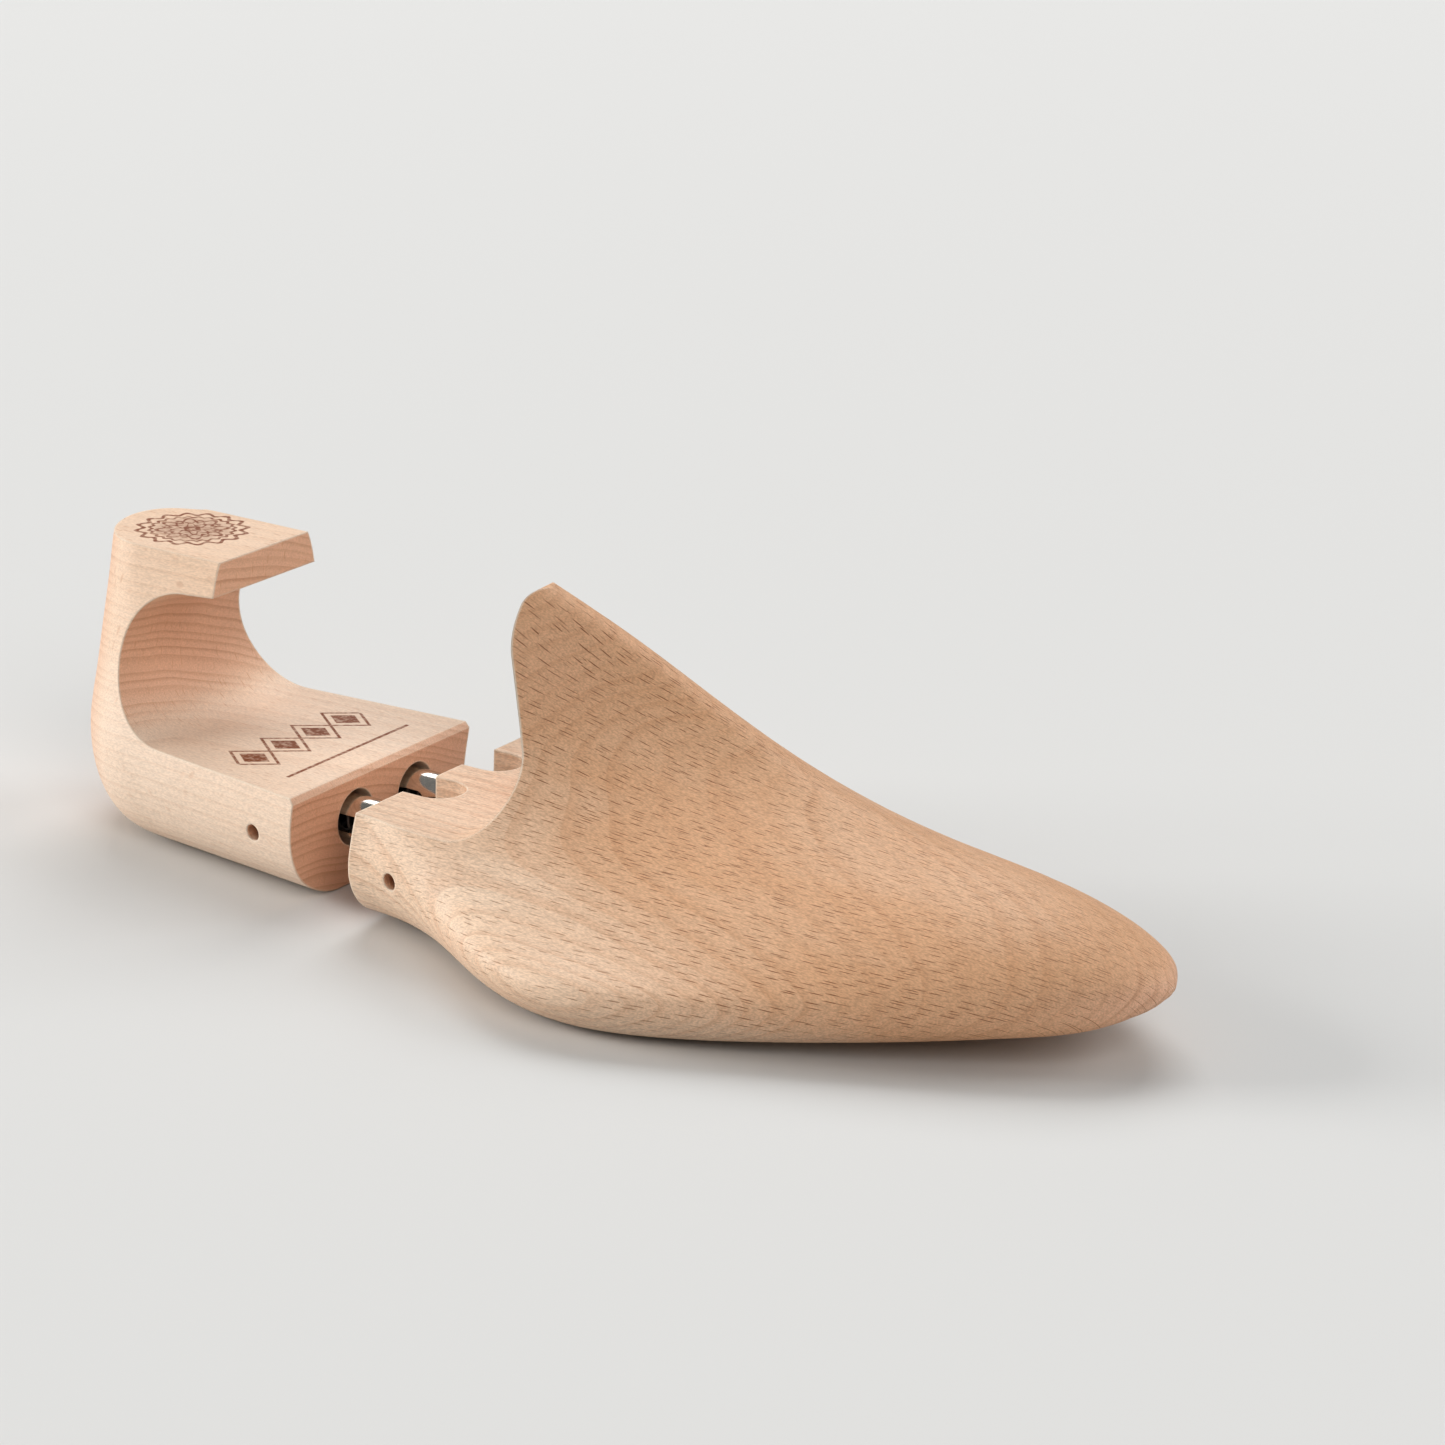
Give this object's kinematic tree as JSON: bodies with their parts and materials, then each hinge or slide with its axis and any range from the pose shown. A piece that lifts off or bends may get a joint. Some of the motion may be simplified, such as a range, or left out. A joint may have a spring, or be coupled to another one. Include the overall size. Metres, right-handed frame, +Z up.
{
  "type": "shoe tree",
  "caption": "Two-part wooden shoe tree for a right shoe: a heel block with a hooked handle and a foot-shaped forepart, joined by sprung telescoping tubes.",
  "frame": {"origin": "middle of the heel block's flat underside, on the surface that the shoe tree stands on", "axes": "+X towards the toe, +Y towards the inner side of the foot, +Z up"},
  "size_m": [0.2762, 0.1016, 0.0738],
  "materials": {
    "beech": "satin",
    "plated_tube": "polished",
    "spring_wire": "satin",
    "pin_steel": "satin"
  },
  "bodies": {
    "heel": {"heel_block": "beech", "heel_pin": "pin_steel", "spring_lateral": "spring_wire", "spring_medial": "spring_wire"},
    "forepart": {"fore_block": "beech", "tube_lateral": "plated_tube", "tube_medial": "plated_tube", "fore_pin": "pin_steel"}
  },
  "joints": [
    {"name": "spring_travel", "type": "slide", "parent": "heel", "child": "forepart", "axis": [-1, 0, 0], "range_m": [0, 0.016], "stiffness_N_per_m": 3000, "springref_m": -0.005, "deforming": ["spring_lateral", "spring_medial"]}
  ]
}
